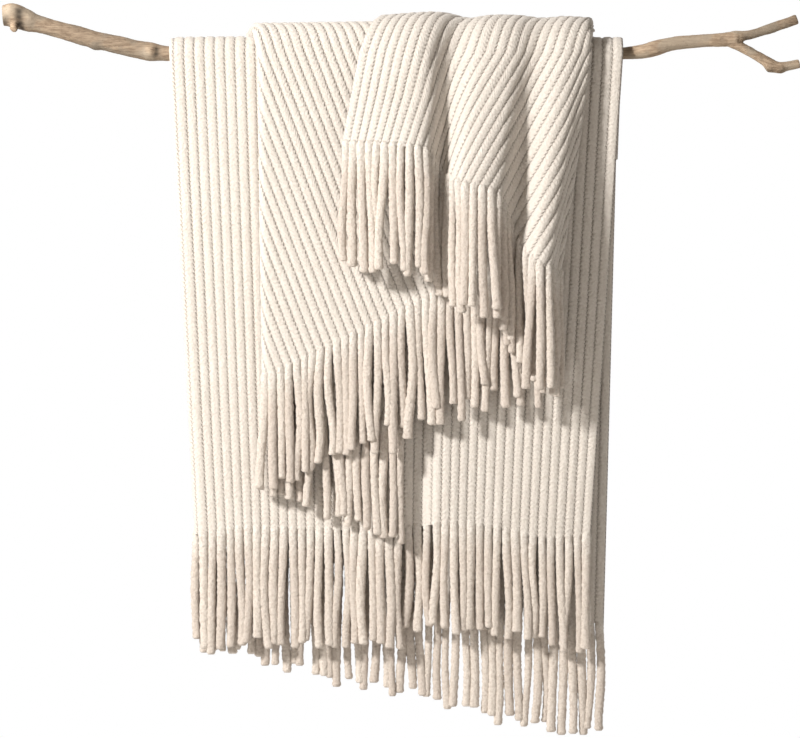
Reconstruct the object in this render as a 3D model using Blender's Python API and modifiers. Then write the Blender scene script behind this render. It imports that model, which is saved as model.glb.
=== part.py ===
"""Chenille knit throw with a fringe, folded double and hung over a bare branch.

Units are millimetres in the tables and metres in the model. X runs along the branch, -Y faces the
viewer and +Z is up. The origin is the centre of the branch's left cut end.

The throw is one sheet. Its flat pattern is cut along its folds and then laid on the rows below:
from its long hem up the front, over the branch, down and up again behind it, over the branch once
more, and down the front to its short hem. Across each row lie up to three plies: the first ply from
its free edge to the left fold, the second from there to the right fold, and the third beyond that.
"""

import math
from collections import namedtuple

import bmesh
import bpy
from mathutils import Vector

MM = 0.001

# Knit
RIBS = 90
RIB_PITCH = 11.15
CREST_THICKNESS = 4.6
GROOVE_THICKNESS = 3.2
CUT_SNAP = 1.2
NO_RIBS = 0.001

# Drape
WRAP_HEIGHT = -49.9
WRAP_END = 157.5
WRAP_CORNER = 1.0 / math.cos(math.radians(22.5))
LOOP_CORNER = 1.0 / math.cos(math.radians(45.0))
LOOP_CENTRE = 23.25

# Fringe
HEM_GAP = 1.0
SLOPE_GAP = 2.2
STRIP_HEIGHT = 5.0
STRIP_THICKNESS = 4.2
STRAND_WIDTH = 7.6
STRAND_DEPTH = 5.8
STRAND_NECK = 10.0
STRAND_TAPER = 0.9
STRAND_LENGTH = 134.0

# A wave along a hem that makes its strands uneven: height in millimetres, turn a rib, and start.
Wave = namedtuple("Wave", "height rate start")

LENGTH_WAVES = (Wave(4.0, 2.1, 0.0), Wave(3.0, 5.3, 1.0))
SIDE_LEAN = (Wave(2.2, 0.83, 0.0), Wave(0.5, 2.9, 0.0))
FORWARD_LEAN = (Wave(0.8, 1.7, 0.0),)

# A stretch of hem whose strands end lower or higher: its ply, its ends on X, the extra length and
# how many ribs it takes from one such strand to the next.
Stretch = namedtuple("Stretch", "ply x_start x_end extra every")

LONG_STRETCHES = (Stretch(0, 500.0, 690.0, -12.0, 1),)
SHORT_STRETCHES = (Stretch(1, 470.0, 680.0, 24.0, 2), Stretch(2, 0.0, 1000.0, 10.0, 1))

# Branch
BRANCH_SIDES_STEP = 2
STUB_SIDES = 7
CAP_WELD = 0.00001

# A row of the drape. turn: direction of the sheet's marked face in degrees, from -Y (0) through +Z (90).
# behind, drop: the row's centre. ply: distance of each ply along that direction. x: first free edge,
# left fold, right fold, third free edge. ribs: rib numbers at the two folds. half: ribs on each side
# of a fold's tip that lie round it. crease: strength of the creases. corner: how far the corner
# between two straight runs pushes the plies out.
Row = namedtuple("Row", "turn behind ply x ribs half drop crease corner", defaults=(1.0,))

LONG_HEM = Row(
    turn=0.0, behind=0.0, ply=(28.0, 10.0, 3.8), x=(739.0, 254.0, 756.0, 756.0),
    ribs=(44.5, 91.0), half=1.0, drop=(604.0, 602.0, 717.0, 717.0), crease=1.0)
FIRST_WRAP = Row(
    turn=22.5, behind=0.0, ply=(20.1, 13.9, 7.7), x=(780.0, 216.0, 781.0, 781.0),
    ribs=(44.5, 91.0), half=0.5, drop=(0.0, 0.0, 0.0, 0.0), crease=0.1)
LOOP_DOWN = Row(
    turn=135.0, behind=LOOP_CENTRE, ply=(-3.15, -9.35, -15.55), x=(775.0, 228.0, 778.0, 778.0),
    ribs=(44.5, 91.0), half=0.5, drop=(130.0, 80.0, 130.0, 130.0), crease=0.0)
LOOP_UP = Row(
    turn=45.0, behind=LOOP_CENTRE, ply=(-3.15, -9.35, -15.55), x=(765.0, 238.0, 770.0, 770.0),
    ribs=(43.5, 91.0), half=0.5, drop=(130.0, 80.0, 130.0, 130.0), crease=0.0)
SECOND_WRAP_BACK = Row(
    turn=-22.5, behind=0.0, ply=(-26.4, -32.6, -38.8), x=(715.0, 291.0, 750.0, 632.0),
    ribs=(36.0, 78.0), half=0.5, drop=(0.0, 0.0, 0.0, 0.0), crease=0.12)
SECOND_WRAP_FRONT = Row(
    turn=-157.5, behind=0.0, ply=(-26.4, -32.6, -38.8), x=(675.0, 327.0, 735.0, 449.0),
    ribs=(30.0, 65.5), half=0.5, drop=(0.0, 0.0, 0.0, 0.0), crease=0.32)
SHORT_MIDWAY = Row(
    turn=-180.0, behind=0.0, ply=(-36.0, -45.0, -54.0), x=(590.0, 331.0, 714.0, 438.0),
    ribs=(23.5, 60.0), half=0.75, drop=(240.0, 200.0, 142.0, 58.0), crease=0.6)
SHORT_HEM = Row(
    turn=-180.0, behind=0.0, ply=(-46.0, -57.0, -68.0), x=(506.0, 336.0, 693.0, 428.0),
    ribs=(17.0, 54.5), half=1.0, drop=(473.0, 404.0, 276.0, 116.0), crease=1.0)

# Creases across a ply at full strength. share: place across the ply. shift: along X. stand: away
# from the branch. lift: upward.
Crease = namedtuple("Crease", "share shift stand lift")

FIRST_LONG_CREASES = (
    Crease(0.00, 0, 0, 0),
    Crease(0.13, 0, 3, -2),
    Crease(0.30, 0, 5, 14),
    Crease(0.41, 3, 9, 14),
    Crease(0.45, 0, -11, 10),
    Crease(0.49, -3, 9, 8),
    Crease(0.65, 0, 3, 6),
    Crease(0.90, 0, 2, 7),
    Crease(1.00, 0, 0, 0),
)
SECOND_LONG_CREASES = (
    Crease(0.00, 0, 0, 0),
    Crease(0.25, 0, -3, 0),
    Crease(0.50, 0, 0, 0),
    Crease(0.75, 0, -3, -2),
    Crease(1.00, 0, 0, 0),
)
FIRST_SHORT_CREASES = (
    Crease(0.00, 0, 0, 0),
    Crease(0.50, 0, 1, 0),
    Crease(1.00, 0, 0, 0),
)
SECOND_SHORT_CREASES = (
    Crease(0.00, 0, 0, 0),
    Crease(0.34, 0, 1, 15),
    Crease(0.68, 0, -1, 29),
    Crease(1.00, 0, 0, 0),
)
THIRD_SHORT_CREASES = (
    Crease(0.00, 0, 0, 0),
    Crease(0.08, 13, 26, -8),
    Crease(0.13, 10, 30, -8),
    Crease(0.24, 12, 2, 14),
    Crease(0.35, 20, 34, 38),
    Crease(0.48, 10, 36, 33),
    Crease(0.60, 17, 2, 30),
    Crease(0.70, 22, 30, 38),
    Crease(0.81, 13, 30, 27),
    Crease(1.00, 0, 10, 0),
)

# A bend of the branch: its place in the plane of the branch, and its radius there.
Bend = namedtuple("Bend", "x z radius")

LIMB = (
    Bend(0, 0, 13.0), Bend(14, 0, 15.0), Bend(32, -7, 13.5), Bend(50, -12, 10.5),
    Bend(104, -27, 11.0), Bend(150, -38, 11.3), Bend(182, -45, 11.8), Bend(202, -47.6, 9.8),
    Bend(215, -48, 9.2), Bend(480, -48, 9.2), Bend(700, -48, 9.2), Bend(783, -47.5, 7.6),
    Bend(808, -45, 9.2), Bend(822, -41, 9.8), Bend(845, -35, 8.8), Bend(878, -32, 8.2),
    Bend(905, -30.5, 8.6), Bend(924, -30, 8.0),
)
UPPER_TWIG = (
    Bend(912, -30, 6.5), Bend(938, -25, 5.2), Bend(970, -15, 5.0), Bend(1000, -4.5, 5.8),
)
LOWER_TWIG = (
    Bend(910, -31, 6.0), Bend(934, -42, 6.2), Bend(958, -56, 6.4), Bend(972, -64.5, 7.2),
    Bend(983, -64.5, 6.4), Bend(1003, -60.5, 5.6),
)
STUB_ROOT = (20.0, 0.0, -6.0)
STUB_TIP = (15.0, -16.0, -18.0)
STUB_ROOT_RADIUS = 6.6
STUB_TIP_RADIUS = 4.4

# Colours as linear red, green and blue
IVORY = (0.80, 0.72, 0.62)
FRINGE_IVORY = (0.72, 0.63, 0.53)
BARK = (0.42, 0.29, 0.19)


def mix(a, b, share):
    """Blend two numbers, or two rows or tuples of them."""
    if isinstance(a, Row):
        return Row(*(mix(one, other, share) for one, other in zip(a, b)))
    if isinstance(a, tuple):
        return tuple(mix(one, other, share) for one, other in zip(a, b))
    return a + (b - a) * share


def wrap_rows(start, end, last_turn):
    """Four rows round the branch, at the upper corners of an octagon."""
    rows = []
    for corner in range(4):
        row = mix(start, end, corner / 3)
        rows.append(row._replace(turn=mix(start.turn, last_turn, corner / 3), corner=WRAP_CORNER))
    return rows


def drape_rows():
    """All rows, from the long hem to the short one."""
    return (
        [LONG_HEM]
        + wrap_rows(FIRST_WRAP, FIRST_WRAP, WRAP_END)
        + [LOOP_DOWN._replace(corner=LOOP_CORNER), LOOP_UP._replace(corner=LOOP_CORNER)]
        + wrap_rows(SECOND_WRAP_BACK, SECOND_WRAP_FRONT, -WRAP_END)
        + [SHORT_MIDWAY, SHORT_HEM]
    )


def crease_tables(row):
    """Creases of the three plies on a row, by the end of the throw that the row belongs to."""
    if row.turn >= 0.0 and row.behind == 0.0:
        return FIRST_LONG_CREASES, SECOND_LONG_CREASES, SECOND_LONG_CREASES
    return FIRST_SHORT_CREASES, SECOND_SHORT_CREASES, THIRD_SHORT_CREASES


def crease_at(table, share):
    """Read a crease table at any share, on a smooth curve through its rows."""
    index = 0
    while index < len(table) - 2 and table[index + 1].share < share:
        index += 1
    here, after = table[index], table[index + 1]
    before = table[max(index - 1, 0)]
    beyond = table[min(index + 2, len(table) - 1)]
    width = after.share - here.share
    t = (share - here.share) / width
    values = []
    for column in range(1, 4):
        rise_in = (after[column] - before[column]) / (after.share - before.share) * width
        rise_out = (beyond[column] - here[column]) / (beyond.share - here.share) * width
        values.append(
            (2 * t ** 3 - 3 * t ** 2 + 1) * here[column] + (t ** 3 - 2 * t ** 2 + t) * rise_in
            + (3 * t ** 2 - 2 * t ** 3) * after[column] + (t ** 3 - t ** 2) * rise_out)
    return values


def across(row, rib):
    """Find a rib's zone on a row (ply 0, 1 or 2, or fold 0.5 or 1.5) and its share of that zone."""
    left, right = row.ribs
    starts = (0.0, left - row.half, left + row.half, right - row.half, right + row.half, float(RIBS))
    for index in range(5):
        if index == 4 or rib <= starts[index + 1]:
            return index / 2, (rib - starts[index]) / max(starts[index + 1] - starts[index], NO_RIBS)
    return None


def on_row(row, zone, share):
    """Point of a zone on one row."""
    shift = stand = lift = 0.0
    if zone == int(zone):
        ply = int(zone)
        x = mix(row.x[ply], row.x[ply + 1], share)
        drop = mix(row.drop[ply], row.drop[ply + 1], share)
        distance = row.ply[ply]
        shift, stand, lift = crease_at(crease_tables(row)[ply], share)
    else:
        inner = int(zone)
        swing = math.pi * share
        radius = abs(row.ply[inner] - row.ply[inner + 1]) / 2
        side = -1.0 if inner == 0 else 1.0
        x = row.x[inner + 1] + side * radius * math.sin(swing)
        drop = row.drop[inner + 1]
        distance = mix(row.ply[inner], row.ply[inner + 1], (1 - math.cos(swing)) / 2)
    turn = math.radians(row.turn)
    facing = Vector((0.0, -math.cos(turn), math.sin(turn)))
    away = 1.0 if row.ply[0] > 0 else -1.0
    point = Vector((x + row.crease * shift, row.behind, WRAP_HEIGHT - drop + row.crease * lift))
    return (point + facing * (distance * row.corner + away * row.crease * stand)) * MM


ROWS = drape_rows()


def row_stations():
    """Distance of each row from the long hem along the middle of the second ply."""
    stations = [0.0]
    for before, after in zip(ROWS, ROWS[1:]):
        stations.append(stations[-1] + (on_row(after, 1.0, 0.5) - on_row(before, 1.0, 0.5)).length)
    return stations


def place(rib, station, stations):
    """Point of the draped sheet at a rib and a distance from the long hem."""
    index = 0
    while index < len(ROWS) - 2 and stations[index + 1] < station:
        index += 1
    share = (station - stations[index]) / (stations[index + 1] - stations[index])
    zone, part = across(mix(ROWS[index], ROWS[index + 1], share), rib)
    return on_row(ROWS[index], zone, part).lerp(on_row(ROWS[index + 1], zone, part), share)


def flat_pattern(stations):
    """Flat sheet with a line of points on each rib's crest and groove, cut along both folds."""
    sheet = bmesh.new()
    columns = [step / 2 * RIB_PITCH * MM for step in range(2 * RIBS + 1)]
    grid = [[sheet.verts.new((x, y, 0.0)) for x in columns] for y in stations]
    for lower, upper in zip(grid, grid[1:]):
        for index in range(2 * RIBS):
            sheet.faces.new((lower[index], lower[index + 1], upper[index + 1], upper[index]))
    for index, (before, after) in enumerate(zip(ROWS, ROWS[1:])):
        for fold in range(2):
            for edge in (-1, 0, 1):
                start = Vector((
                    (before.ribs[fold] + edge * before.half) * RIB_PITCH * MM, stations[index], 0.0))
                end = Vector((
                    (after.ribs[fold] + edge * after.half) * RIB_PITCH * MM, stations[index + 1], 0.0))
                if min(start.x, end.x) < RIBS * RIB_PITCH * MM:
                    cut_panel(sheet, stations[index], stations[index + 1], start, end)
    return sheet


def cut_panel(sheet, low, high, start, end):
    """Cut the faces between two rows along one line."""
    panel = [face for face in sheet.faces if low < face.calc_center_median().y < high]
    edges = {edge for face in panel for edge in face.edges}
    corners = {corner for face in panel for corner in face.verts}
    along = end - start
    bmesh.ops.bisect_plane(
        sheet, geom=panel + list(edges) + list(corners), dist=CUT_SNAP * MM,
        plane_co=start, plane_no=Vector((along.y, -along.x, 0.0)).normalized())


def knit_throw(collection, material):
    """The throw: its flat pattern laid on the rows and thickened, more on a crest than in a groove."""
    stations = row_stations()
    sheet = flat_pattern(stations)
    bmesh.ops.triangulate(sheet, faces=[face for face in sheet.faces if len(face.verts) > 4])
    crest = []
    for corner in sheet.verts:
        rib = corner.co.x / (RIB_PITCH * MM)
        crest.append(1.0 - abs(2.0 * (rib % 1.0) - 1.0))
        corner.co = place(rib, corner.co.y, stations)
    throw = add_mesh("knit_throw", sheet, collection, material)
    group = throw.vertex_groups.new(name="crest")
    for index, weight in enumerate(crest):
        group.add([index], weight, "REPLACE")
    shell = throw.modifiers.new("knit", "SOLIDIFY")
    shell.thickness = CREST_THICKNESS * MM
    shell.offset = 0.0
    shell.use_even_offset = False
    shell.use_quality_normals = True
    shell.vertex_group = group.name
    shell.thickness_vertex_group = GROOVE_THICKNESS / CREST_THICKNESS
    return throw


def wave_sum(waves, rib):
    """Height of a few waves together, at a rib."""
    return sum(wave.height * math.sin(wave.rate * rib + wave.start) for wave in waves)


def strand_length(row, rib, x, stretches):
    """Length of a strand, a little uneven, and longer where a second tier shows."""
    ply = sum(rib > fold for fold in row.ribs)
    length = STRAND_LENGTH + wave_sum(LENGTH_WAVES, rib)
    for stretch in stretches:
        chosen = int(rib) % stretch.every == stretch.every - 1
        if chosen and ply == stretch.ply and stretch.x_start < x < stretch.x_end:
            length += stretch.extra
    return length


def fringe(name, row, stretches, collection, material):
    """Strands that hang from a narrow strip along one hem of the throw."""
    hem = [on_row(row, *across(row, float(rib))) for rib in range(RIBS + 1)]
    half = STRIP_THICKNESS / 2 * MM
    body = bmesh.new()
    rings = []
    for index, point in enumerate(hem):
        along = hem[min(index + 1, RIBS)] - hem[max(index - 1, 0)]
        out = Vector((along.y, -along.x, 0.0)).normalized() * half
        slope = abs(along.z) / math.hypot(along.x, along.y)
        top = point - Vector((0.0, 0.0, HEM_GAP * (1.0 + SLOPE_GAP * slope) * MM))
        bottom = top - Vector((0.0, 0.0, STRIP_HEIGHT * MM))
        rings.append([body.verts.new(spot) for spot in (top + out, top - out, bottom - out, bottom + out)])
    for here, after in zip(rings, rings[1:]):
        for side in (0, 1, 3):
            other = (side + 1) % 4
            body.faces.new((here[side], after[side], after[other], here[other]))
    body.faces.new(rings[0])
    body.faces.new(rings[-1])
    for index in range(RIBS):
        root = [rings[index][2], rings[index + 1][2], rings[index + 1][3], rings[index][3]]
        rib = index + 0.5
        centre = sum((corner.co for corner in root), Vector()) / 4
        strand(body, root, centre, rib, strand_length(row, rib, centre.x / MM, stretches))
    bmesh.ops.recalc_face_normals(body, faces=body.faces)
    return add_mesh(name, body, collection, material)


def strand(body, root, centre, rib, length):
    """One strand of four sides, from its root down to its blunt end."""
    heights = [corner.co.z for corner in root]
    steep = max(heights) - min(heights)
    neck = Vector((centre.x, centre.y, min(heights) - STRAND_NECK * MM - steep))
    lean = Vector((wave_sum(SIDE_LEAN, rib), wave_sum(FORWARD_LEAN, rib), -length))
    tip = centre + lean * MM
    upper = strand_ring(body, root, neck, 1.0)
    lower = strand_ring(body, root, tip, STRAND_TAPER)
    for above, below in ((root, upper), (upper, lower)):
        for side in range(4):
            other = (side + 1) % 4
            body.faces.new((above[side], above[other], below[other], below[side]))
    body.faces.new(lower)


def strand_ring(body, root, centre, size):
    """Four corners square to the view, in the order that turns least from the root's corners."""
    half_width = STRAND_WIDTH / 2 * size * MM
    half_depth = STRAND_DEPTH / 2 * size * MM
    corners = [
        Vector((half_width * sx, half_depth * sy, 0.0)) for sx, sy in ((-1, -1), (1, -1), (1, 1), (-1, 1))]
    middle = sum((corner.co for corner in root), Vector()) / 4
    spokes = [corner.co - middle for corner in root]
    if spokes[0].x * spokes[1].y - spokes[0].y * spokes[1].x < 0:
        corners.reverse()
    turns = [corners[start:] + corners[:start] for start in range(4)]
    best = max(turns, key=lambda turn: sum(
        spoke.x * spot.x + spoke.y * spot.y for spoke, spot in zip(spokes, turn)))
    return [body.verts.new(centre + spot) for spot in best]


def add_mesh(name, body, collection, material):
    """Turn a bmesh into a named object."""
    mesh = bpy.data.meshes.new(name)
    body.to_mesh(mesh)
    body.free()
    mesh.materials.append(material)
    piece = bpy.data.objects.new(name, mesh)
    collection.objects.link(piece)
    return piece


def limb(name, bends, collection, material):
    """A tapering round limb through its bends, as a closed mesh."""
    curve = bpy.data.curves.new(name, "CURVE")
    curve.dimensions = "3D"
    curve.bevel_depth = MM
    curve.bevel_resolution = BRANCH_SIDES_STEP
    curve.use_fill_caps = True
    spline = curve.splines.new("POLY")
    spline.points.add(len(bends) - 1)
    for point, bend in zip(spline.points, bends):
        point.co = (bend.x * MM, 0.0, bend.z * MM, 1.0)
        point.radius = bend.radius
    guide = bpy.data.objects.new(name + "_curve", curve)
    collection.objects.link(guide)
    shape = bpy.data.meshes.new_from_object(guide.evaluated_get(bpy.context.evaluated_depsgraph_get()))
    bpy.data.objects.remove(guide)
    body = bmesh.new()
    body.from_mesh(shape)
    bpy.data.meshes.remove(shape)
    bmesh.ops.remove_doubles(body, verts=body.verts, dist=CAP_WELD)
    bmesh.ops.recalc_face_normals(body, faces=body.faces)
    return add_mesh(name, body, collection, material)


def stub(name, collection, material):
    """The short broken stub at the left knuckle."""
    root, tip = Vector(STUB_ROOT) * MM, Vector(STUB_TIP) * MM
    body = bmesh.new()
    bmesh.ops.create_cone(
        body, cap_ends=True, segments=STUB_SIDES, radius1=STUB_ROOT_RADIUS * MM, radius2=STUB_TIP_RADIUS * MM,
        depth=(tip - root).length)
    piece = add_mesh(name, body, collection, material)
    piece.location = (root + tip) / 2
    piece.rotation_mode = "QUATERNION"
    piece.rotation_quaternion = (tip - root).to_track_quat("Z", "Y")
    return piece


def branch(collection, cutters, material):
    """The bare branch: its limb joined with two twigs and a stub."""
    whole = limb("branch", LIMB, collection, material)
    joined = (
        limb("upper_twig", UPPER_TWIG, cutters, material),
        limb("lower_twig", LOWER_TWIG, cutters, material),
        stub("stub", cutters, material),
    )
    for piece in joined:
        piece.hide_render = True
        piece.display_type = "WIRE"
        union = whole.modifiers.new(piece.name, "BOOLEAN")
        union.operation = "UNION"
        union.solver = "EXACT"
        union.object = piece
    return whole


def finish(name, colour, roughness):
    """A plain Principled material."""
    material = bpy.data.materials.new(name)
    material.use_nodes = True
    shader = material.node_tree.nodes["Principled BSDF"]
    shader.inputs["Base Color"].default_value = (*colour, 1.0)
    shader.inputs["Roughness"].default_value = roughness
    shader.inputs["Metallic"].default_value = 0.0
    material.diffuse_color = (*colour, 1.0)
    return material


def collection_named(name):
    """A new collection in the scene."""
    collection = bpy.data.collections.new(name)
    bpy.context.scene.collection.children.link(collection)
    return collection


def main():
    """Build the throw, its two fringes and the branch."""
    for thing in list(bpy.data.objects):
        bpy.data.objects.remove(thing)
    parts = collection_named("chenille_throw_on_branch")
    cutters = collection_named("joined_pieces")
    knit_throw(parts, finish("ivory_chenille", IVORY, 0.95))
    fringe(
        "fringe_long_end", LONG_HEM, LONG_STRETCHES, parts, finish("ivory_fringe_long", FRINGE_IVORY, 0.95))
    fringe(
        "fringe_short_end", SHORT_HEM, SHORT_STRETCHES, parts,
        finish("ivory_fringe_short", FRINGE_IVORY, 0.95))
    branch(parts, cutters, finish("bark", BARK, 0.8))


main()
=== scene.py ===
"""Looks of the chenille knit throw on a bare branch: the knit, the fringe, the bark and the light.

Units are millimetres and degrees for the drape, the fringe and the branch, and metres for the
materials, the light and the camera. X runs along the branch, -Y faces the viewer and +Z is up.
The origin is the centre of the branch's left cut end.
"""

import math
import random
from collections import namedtuple

import bmesh
import bpy
import numpy as np
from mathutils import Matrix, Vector, noise


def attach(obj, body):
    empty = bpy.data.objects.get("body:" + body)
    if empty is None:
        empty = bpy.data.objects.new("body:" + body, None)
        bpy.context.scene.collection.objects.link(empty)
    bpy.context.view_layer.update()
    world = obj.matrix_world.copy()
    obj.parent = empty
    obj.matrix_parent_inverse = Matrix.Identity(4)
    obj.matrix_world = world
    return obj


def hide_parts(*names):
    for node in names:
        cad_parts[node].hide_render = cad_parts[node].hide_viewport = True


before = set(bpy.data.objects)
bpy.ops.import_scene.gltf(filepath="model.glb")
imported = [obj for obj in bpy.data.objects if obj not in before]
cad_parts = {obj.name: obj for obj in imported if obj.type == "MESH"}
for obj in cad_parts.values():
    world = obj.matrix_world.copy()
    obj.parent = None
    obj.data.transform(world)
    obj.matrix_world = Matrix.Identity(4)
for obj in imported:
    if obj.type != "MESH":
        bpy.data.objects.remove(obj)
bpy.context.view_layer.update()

MM = 0.001
SEED = 7

# Photograph, in pixels, with the row of the branch's left cut end
PHOTO_WIDTH = 800
PHOTO_HEIGHT = 738
MM_PER_PIXEL = 1.25
ORIGIN_ROW = 13

# Knit. The halves are of its thickness, on a rib's crest and in a groove. RIB_ROUND is a power: the
# lower, the plumper the rib. Faces that meet at more than HEM_ANGLE keep a sharp edge.
RIBS = 90
COLUMNS_PER_RIB = 5
CREST_HALF = 3.0
GROOVE_HALF = 1.3
RIB_ROUND = 0.38
KNIT_PILE = 0.25
HEM_ANGLE = 84.0
STITCH = 5.6

# Drape
WRAP_HEIGHT = -49.9
LOOP_CENTRE = 23.25

# Fringe. A pair is a random range: what is added to a strand's length, how far it sways, how many half
# waves it has and its size. BULGE to TIP_TAPER make its size uneven, and the two lists of sizes shape
# its first and last rings. CLUMP leans strands into clumps. The long end's strands lean and sway less.
STRAND_HALF_WIDTH = 5.5
STRAND_HALF_DEPTH = 4.1
STRAND_SIDES = 14
STRAND_RINGS = 64
STRAND_LENGTH = 144.0
STRAND_SINK = 6.0
STRAND_LAY = 3.6
STRAND_SPREAD = 3.0
STRAND_TRIM = (-7.0, 5.0)
STRAND_SWAY = (0.8, 4.2)
STRAND_BEAT = (0.9, 2.2)
STRAND_SWELL = (0.86, 1.1)
STRAND_PILE = 0.12
BULGE = 0.05
BULGE_RATE = 7.0
BULGE_START = 6.0
TIP_TAPER = 0.05
ROOT_SIZES = (0.5, 0.8, 0.95)
TIP_SIZES = (1.06, 1.08, 0.75)
CLUMP = 3.0
CLUMP_RATE = 1.75
CLUMP_WANDER = 0.6
CLUMP_WANDER_RATE = 0.37
LONG_END_CALM = 0.7

# A wave along a hem that makes its strands uneven: height in millimetres, turn a rib, and start.
Wave = namedtuple("Wave", "height rate start")

LENGTH_WAVES = (Wave(4.0, 2.1, 0.0), Wave(3.0, 5.3, 1.0))

# A stretch of hem whose strands end lower or higher: its ply, its ends on X, the extra length and
# how many ribs it takes from one such strand to the next.
Stretch = namedtuple("Stretch", "ply x_start x_end extra every")

LONG_STRETCHES = (Stretch(0, 500.0, 690.0, -12.0, 1),)
SHORT_STRETCHES = (Stretch(1, 470.0, 680.0, 24.0, 2), Stretch(2, 0.0, 1000.0, 10.0, 1))

# A row of the drape. turn: direction of the sheet's marked face in degrees, from -Y (0) through +Z (90).
# behind, drop: the row's centre. ply: distance of each ply along that direction. x: first free edge,
# left fold, right fold, third free edge. ribs: rib numbers at the two folds. half: ribs on each side
# of a fold's tip that lie round it. crease: strength of the creases. steps: rows up to the next one.
Row = namedtuple("Row", "turn behind ply x ribs half drop crease steps")

LONG_HEM = Row(
    turn=0.0, behind=0.0, ply=(28.0, 10.0, 3.8), x=(739.0, 254.0, 756.0, 756.0),
    ribs=(44.5, 91.0), half=1.0, drop=(604.0, 602.0, 717.0, 717.0), crease=1.0, steps=26)
FIRST_WRAP = Row(
    turn=0.0, behind=0.0, ply=(20.1, 13.9, 7.7), x=(780.0, 216.0, 781.0, 781.0),
    ribs=(44.5, 91.0), half=0.5, drop=(0.0, 0.0, 0.0, 0.0), crease=0.1, steps=1)
LOOP_DOWN = Row(
    turn=180.0, behind=LOOP_CENTRE, ply=(-3.15, -9.35, -15.55), x=(775.0, 228.0, 778.0, 778.0),
    ribs=(44.5, 91.0), half=0.5, drop=(130.0, 80.0, 130.0, 130.0), crease=0.0, steps=1)
LOOP_UP = Row(
    turn=0.0, behind=LOOP_CENTRE, ply=(-3.15, -9.35, -15.55), x=(765.0, 238.0, 770.0, 770.0),
    ribs=(43.5, 91.0), half=0.5, drop=(130.0, 80.0, 130.0, 130.0), crease=0.0, steps=1)
SECOND_WRAP_BACK = Row(
    turn=0.0, behind=0.0, ply=(-26.4, -32.6, -38.8), x=(715.0, 291.0, 750.0, 632.0),
    ribs=(36.0, 78.0), half=0.5, drop=(0.0, 0.0, 0.0, 0.0), crease=0.0, steps=1)
SECOND_WRAP_FRONT = Row(
    turn=-180.0, behind=0.0, ply=(-26.4, -32.6, -38.8), x=(675.0, 327.0, 735.0, 449.0),
    ribs=(30.0, 65.5), half=0.5, drop=(0.0, 0.0, 0.0, 0.0), crease=0.5, steps=1)
SHORT_MIDWAY = Row(
    turn=-180.0, behind=0.0, ply=(-36.0, -45.0, -54.0), x=(590.0, 331.0, 714.0, 438.0),
    ribs=(23.5, 60.0), half=0.75, drop=(240.0, 200.0, 142.0, 58.0), crease=0.6, steps=21)
SHORT_HEM = Row(
    turn=-180.0, behind=0.0, ply=(-46.0, -57.0, -68.0), x=(506.0, 336.0, 693.0, 428.0),
    ribs=(17.0, 54.5), half=1.0, drop=(473.0, 404.0, 276.0, 116.0), crease=1.0, steps=1)
HIDDEN_SLIDE = 0.7
SLIDE_POWER = 4
WRAP_SWELL = (0.0, 5.5, 6.0)
WRAP_STEPS = 10
LOOP_STEPS = 5
STEPS_DOWN_BEHIND = 7
STEPS_UP_BEHIND = 9
STEPS_DOWN_FRONT = 21

# Creases across a ply at full strength. share: place across the ply. shift: along X. stand: away
# from the branch. lift: upward.
Crease = namedtuple("Crease", "share shift stand lift")

FIRST_LONG_CREASES = (
    Crease(0.00, 0, 0, 0),
    Crease(0.13, 0, 3, -2),
    Crease(0.30, 0, 5, 14),
    Crease(0.40, 2, 7, 14),
    Crease(0.45, 0, -5, 10),
    Crease(0.50, -2, 7, 8),
    Crease(0.65, 0, 3, 6),
    Crease(0.90, 0, 2, 7),
    Crease(1.00, 0, 0, 0),
)
SECOND_LONG_CREASES = (
    Crease(0.00, 0, 0, 0),
    Crease(0.25, 0, -3, 0),
    Crease(0.50, 0, 0, 0),
    Crease(0.75, 0, -3, -2),
    Crease(1.00, 0, 0, 0),
)
FIRST_SHORT_CREASES = (
    Crease(0.00, 0, 0, 0),
    Crease(0.50, 0, 1, 0),
    Crease(1.00, 0, 0, 0),
)
SECOND_SHORT_CREASES = (
    Crease(0.00, 0, 0, 0),
    Crease(0.34, 0, 1, 15),
    Crease(0.68, 0, -1, 29),
    Crease(1.00, 0, 0, 0),
)
THIRD_SHORT_CREASES = (
    Crease(0.00, 0, 0, 0),
    Crease(0.08, 13, 26, -8),
    Crease(0.13, 10, 30, -8),
    Crease(0.24, 12, -4, 14),
    Crease(0.35, 20, 34, 38),
    Crease(0.48, 10, 36, 33),
    Crease(0.60, 17, -4, 30),
    Crease(0.70, 22, 30, 38),
    Crease(0.81, 13, 30, 27),
    Crease(1.00, 0, 10, 0),
)
WRAP_SHORT_CREASES = (
    Crease(0.00, 0, 0, 0),
    Crease(0.08, 8, 12, 0),
    Crease(0.13, 8, 14, 0),
    Crease(0.24, 6, 0, 0),
    Crease(0.35, 8, 24, 0),
    Crease(0.48, 4, 26, 0),
    Crease(0.60, 0, 0, 0),
    Crease(0.70, -4, 46, 0),
    Crease(0.81, -6, 46, 0),
    Crease(1.00, 0, 24, 0),
)

# A bend of the branch: its place in the plane of the branch, and its radius there.
Bend = namedtuple("Bend", "x z radius")

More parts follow.
